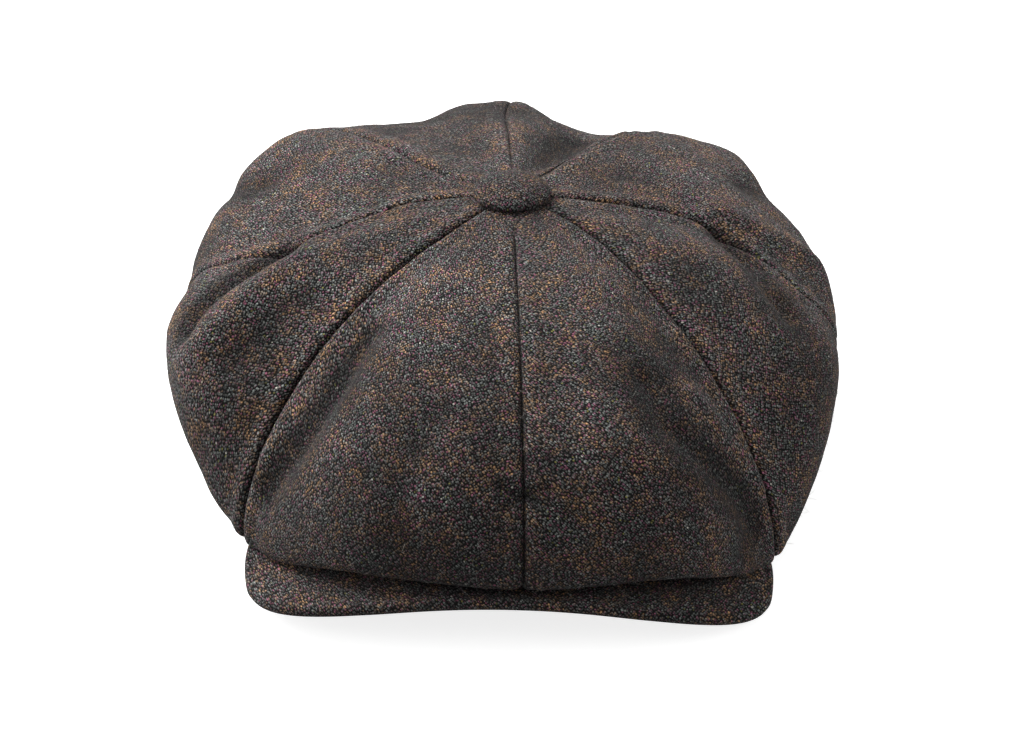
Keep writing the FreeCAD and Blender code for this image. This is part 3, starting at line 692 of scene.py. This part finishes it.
sweatband = make_band("sweatband_ring", "sweatband", 0.0, SWEATBAND_THICKNESS, *SWEATBAND_RANGE,
                      PEAK_THICKNESS, "sweatband_tape", 0.25, "stretched", [])
interlining = make_band("interlining_ring", "band_interlining", SWEATBAND_THICKNESS, INTERLINING_THICKNESS,
                        *INTERLINING_RANGE, 0.0, "interlining_canvas", 0.0, "stretched", [sweatband])
make_band("outer_band_cloth", "outer_band", SWEATBAND_THICKNESS + INTERLINING_THICKNESS,
          TWEED_THICKNESS, 0.0, BAND_HEIGHT, 0.0, "tweed", 0.0, "stretched", [interlining])


# Peak

def peak_reach(bearing):
    """Distance to the peak's edge at bearings from its tips round the front."""
    angle = np.linspace(0, math.pi, 17)
    power = 2 / PEAK_SQUARENESS
    half_width = PEAK_WIDTH / 2
    widest_y = -BAND_HALF_LENGTH - PEAK_DEPTH + PEAK_SIDE_LENGTH
    x = half_width * np.sign(np.cos(angle)) * np.abs(np.cos(angle)) ** power
    y = widest_y - PEAK_SIDE_LENGTH * np.sin(angle) ** power
    tip_x, tip_y = (HEAD_HALF + SWEATBAND_THICKNESS) * [math.sin(math.radians(PEAK_TIP_BEARING)),
                                                        -math.cos(math.radians(PEAK_TIP_BEARING))]
    wing_x = half_width + (tip_x - half_width) * PEAK_WING[0]
    wing_y = widest_y + (tip_y - widest_y) * PEAK_WING[1]
    line = np.concatenate([[(tip_x, tip_y), (wing_x, wing_y)], np.stack([x, y], -1),
                           [(-wing_x, wing_y), (-tip_x, tip_y)]])
    ends = np.concatenate([[2 * line[0] - line[1]], line, [2 * line[-1] - line[-2]]])
    share = np.linspace(0, 1, 24, endpoint=False)[:, None]
    curve = []
    for before, here, after, beyond in zip(ends, ends[1:], ends[2:], ends[3:]):
        curve.append(here + share * ((after - before) / 2 + share * (
            before - 2.5 * here + 2 * after - beyond / 2 + share * (
                1.5 * here - before / 2 - 1.5 * after + beyond / 2))))
    curve = np.concatenate(curve + [line[-1:]])[::-1]
    return np.interp(bearing, np.degrees(np.arctan2(curve[:, 0], -curve[:, 1])), np.hypot(*curve.T))


def make_peak_layer(name, node, outer_profile, inner_profile, slot, relief_height):
    """One layer of the peak. A profile is (distance in from the edge, depth under the top face) pairs;
    before it the layer runs back at its first depth to the band."""
    half_width, half_length = HEAD_HALF + SWEATBAND_THICKNESS
    tip = math.degrees(math.atan2(half_width * math.sin(math.radians(PEAK_TIP_BEARING)),
                                  half_length * math.cos(math.radians(PEAK_TIP_BEARING))))
    bearing = np.linspace(-tip + PEAK_TIP_TRIM, tip - PEAK_TIP_TRIM, 220)[:, None]
    near = oval_reach(SWEATBAND_THICKNESS, bearing)
    far = peak_reach(bearing)
    fit = np.clip((far - near) / 12.0, 0.02, 1.0)
    sides = []
    flats = []
    for profile in (outer_profile, inner_profile):
        distance, depth = np.array(profile).T
        back = np.linspace(0, 1, 40, endpoint=False)
        edge_start = far - distance[0] * fit
        reach = np.concatenate([near + (edge_start - near) * back, far - distance * fit], 1)
        depths = np.concatenate([np.full(40, depth[0]), depth])
        x, y = reach * np.sin(np.radians(bearing)), -reach * np.cos(np.radians(bearing))
        points = np.stack([x, y, peak_height(x, y) - depths * np.where(fit < 1, 0.4 + 0.6 * fit, 1)], -1)
        lump = noise_relief(points.reshape(-1, 3), PEAK_WAVES).reshape(reach.shape)
        rim = np.clip((far - reach) / 6.0, 0, 1)
        points[..., 2] += relief_height * (lump * rim - 0.35 * np.exp(-((far - reach - 5.0) / 2.2) ** 2))
        sides.append(points)
        run = np.hypot(*np.gradient(np.stack([reach, points[..., 2]]), axis=2))
        flats.append(np.stack([x + GRAIN_FROM_PEAK, np.cumsum(run, 1)], -1))
    sections = np.concatenate([sides[0], sides[1][:, ::-1]], 1)
    grain = np.concatenate([flats[0], flats[1][:, ::-1]], 1)
    piece = piece_mesh(name, sections, grain, slot, np.zeros(sections.shape[:2]))
    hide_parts(node)
    return piece


def arc(radius, start, end, centre, count):
    """Points of an arc as (distance in, depth)."""
    angles = np.radians(np.linspace(start, end, count))
    return [(centre[0] - radius * math.cos(angle), centre[1] + radius * math.sin(angle)) for angle in angles]


padding = make_peak_layer("peak_padding_felt", "peak_padding", [(4.0, 1.25), (3.2, 1.3)],
                          [(4.0, 1.78), (3.2, 1.75)], "felt", 1.0)
make_peak_layer("peak_top_cloth", "peak_top_cover",
                arc(2.1, -90, 0, (2.1, 2.1), 9) + [(0.1, 2.6), (0.45, 3.0)],
                arc(0.95, -90, 0, (2.1, 2.1), 9) + [(1.2, 2.6), (1.3, 3.0)],
                "tweed", 1.0)
make_peak_layer("peak_under_cloth", "peak_under_cover",
                arc(1.1, 90, 20, (1.6, 3.1), 7) + [(0.75, 3.15)],
                [(3.0, 3.05), (2.6, 3.05), (2.2, 3.05), (1.9, 3.05), (1.6, 3.05), (1.4, 3.07),
                 (1.2, 3.08), (1.0, 3.1)],
                "tweed", 0.0)


# Button

def make_turned(name, node, profile, centre, slot, gathers=0.0):
    """Closed form turned round an upright axis from (radius, height) pairs that start and end on it."""
    columns = 144
    bearing = np.linspace(0, 2 * math.pi, columns, endpoint=False)[:, None]
    radius, height = np.array(profile, float).T
    skirt = smooth((radius / radius.max() - 0.72) / 0.28)
    pleat = np.sin(13 * bearing + 0.8 * np.sin(3 * bearing)) + 0.5 * np.sin(29 * bearing + 1.0)
    wide = radius + gathers * pleat * skirt
    lump = gathers * 0.6 * np.sin(2 * bearing + 0.5) * smooth(radius / radius.max())
    points = np.stack([wide * np.sin(bearing) + centre[0], -wide * np.cos(bearing) + centre[1],
                       height + lump + centre[2]], -1)
    around_again = points[[*range(columns), 0]]
    flat = around_again[..., :2] - centre[:2]
    spread = (1 + 0.5 * (centre[2] + height.max() - around_again[..., 2:]) / radius.max())
    piece = piece_mesh(name, points, flat * spread + GRAIN_FROM_BUTTON, slot,
                       np.zeros(points.shape[:2]), closed_round=True)
    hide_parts(node)
    return piece


button_place = np.array([*BUTTON_OFFSET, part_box("button_cover")[0][2] / MM])
outside = [(0.0, 6.4), (3.0, 6.27), (6.0, 5.88), (8.5, 5.32), (10.8, 4.6), (12.7, 3.75), (14.1, 2.85),
           (15.0, 1.95), (15.4, 1.2), (15.35, 0.6), (14.9, 0.15), (14.2, 0.0), (13.0, 0.05), (12.5, 0.35)]
within = [(12.6, 0.75), (13.4, 1.0), (14.0, 1.5), (13.6, 2.2), (12.6, 2.95), (10.6, 3.7), (8.2, 4.4),
          (5.0, 4.9), (2.0, 5.15), (0.0, 5.2)]
button = make_turned("button_cloth", "button_cover", outside + within, button_place, "tweed", 0.16)

patch_place = np.array([*BUTTON_OFFSET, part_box("button_patch")[0][2] / MM])
patch = make_turned("button_patch_felt", "button_patch",
                    [(2.5, 0.0), (8.0, 0.03), (13.6, 0.0), (14.0, 0.3), (14.0, 0.7), (13.6, 1.0), (8.0, 0.96),
                     (2.5, 1.0)], patch_place, "felt", 0.05)

for node, slot in (("peak_board", "board_plastic"), ("button_shell", "button_metal"),
                   ("button_prongs", "button_metal"), ("front_tack_stitches", "thread")):
    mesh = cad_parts[node].data
    mesh.materials.clear()
    mesh.materials.append(MATERIALS[slot])


# Floor, light and camera

FLOOR_REACH = 5.0
FLOOR_CLEAR = 0.0002
WALL_SIDES = 48
WALL_REACH = 4.5
WALL_HEIGHTS = (-0.3, 5.0)
LENS = 108.28125
SENSOR_WIDTH = 36.0
CAMERA_TARGET = Vector((0.001, -0.006, 0.034))
CAMERA_DISTANCE = 1.25
CAMERA_ELEVATION = math.radians(32)
LIGHT_TARGET = (0, 0, 0.05)

# The floor glows a little, so that the cap's shadow on it stays pale
floor_mesh = bpy.data.meshes.new("floor")
floor_mesh.from_pydata([(x * FLOOR_REACH, y * FLOOR_REACH, cad_box[0][2] - FLOOR_CLEAR)
                        for x, y in ((-1, -1), (1, -1), (1, 1), (-1, 1))], [], [(0, 1, 2, 3)])
floor = bpy.data.objects.new("floor", floor_mesh)
bpy.context.scene.collection.objects.link(floor)
pale = Paint("floor_paper", 0.9, specular=0.2)
paper = pale.noise(pale.add("TexCoord", {}, 3), 60.0, 3.0)
pale.shader.inputs["Emission Color"].default_value = (1, 1, 1, 1)
pale.shader.inputs["Emission Strength"].default_value = 0.8
floor_mesh.materials.append(pale.finish(pale.mix(paper, (0.60, 0.60, 0.60), (0.64, 0.64, 0.64))))
floor.visible_diffuse = False

# A white wall all round, far outside the lights, which only the camera sees
turns = np.linspace(0, 2 * math.pi, WALL_SIDES, endpoint=False)
wall_mesh = bpy.data.meshes.new("backdrop")
wall_mesh.from_pydata(
    [(WALL_REACH * math.cos(turn), WALL_REACH * math.sin(turn), height) for height in WALL_HEIGHTS
     for turn in turns], [],
    [(side, (side + 1) % WALL_SIDES, (side + 1) % WALL_SIDES + WALL_SIDES, side + WALL_SIDES)
     for side in range(WALL_SIDES)])
wall = bpy.data.objects.new("backdrop", wall_mesh)
bpy.context.scene.collection.objects.link(wall)
bright = Paint("backdrop_paper", 0.9, specular=0.0)
bright.shader.inputs["Emission Color"].default_value = (1, 1, 1, 1)
bright.shader.inputs["Emission Strength"].default_value = 0.95
mottle = bright.noise(bright.add("TexCoord", {}, 3), 5.0, 2.0)
wall_mesh.materials.append(bright.finish(bright.mix(mottle, (0.9, 0.9, 0.9), (0.95, 0.95, 0.95))))
for ray in ("diffuse", "glossy", "transmission", "shadow"):
    setattr(wall, "visible_" + ray, False)

world = bpy.data.worlds.new("studio")
world.use_nodes = True
world.node_tree.nodes["Background"].inputs[0].default_value = (1.0, 1.0, 1.0, 1)
world.node_tree.nodes["Background"].inputs[1].default_value = 0.2
bpy.context.scene.world = world
bpy.context.scene.view_settings.view_transform = "Standard"


def add_light(name, place, target, size, power):
    """Soft square light turned to a target."""
    light = bpy.data.lights.new(name, "AREA")
    light.size = size
    light.energy = power
    lamp = bpy.data.objects.new(name, light)
    lamp.location = place
    lamp.rotation_euler = (Vector(target) - Vector(place)).to_track_quat("-Z", "Y").to_euler()
    bpy.context.scene.collection.objects.link(lamp)


add_light("key", (-1.2, 1.0, 1.5), LIGHT_TARGET, 1.8, 104.0)
add_light("left", (-1.6, -0.4, 0.8), LIGHT_TARGET, 1.2, 17.0)
add_light("right", (1.6, -0.3, 0.8), LIGHT_TARGET, 1.2, 15.0)
add_light("top", (0.0, 0.5, 2.2), (0, 0, 0), 2.0, 16.0)

camera_data = bpy.data.cameras.new("camera")
camera_data.sensor_width = SENSOR_WIDTH
camera_data.lens = LENS
camera = bpy.data.objects.new("camera", camera_data)
toward_camera = Vector((0, -math.cos(CAMERA_ELEVATION), math.sin(CAMERA_ELEVATION)))
camera.location = CAMERA_TARGET + CAMERA_DISTANCE * toward_camera
camera.rotation_euler = (CAMERA_TARGET - camera.location).to_track_quat("-Z", "Y").to_euler()
bpy.context.scene.collection.objects.link(camera)
bpy.context.scene.camera = camera
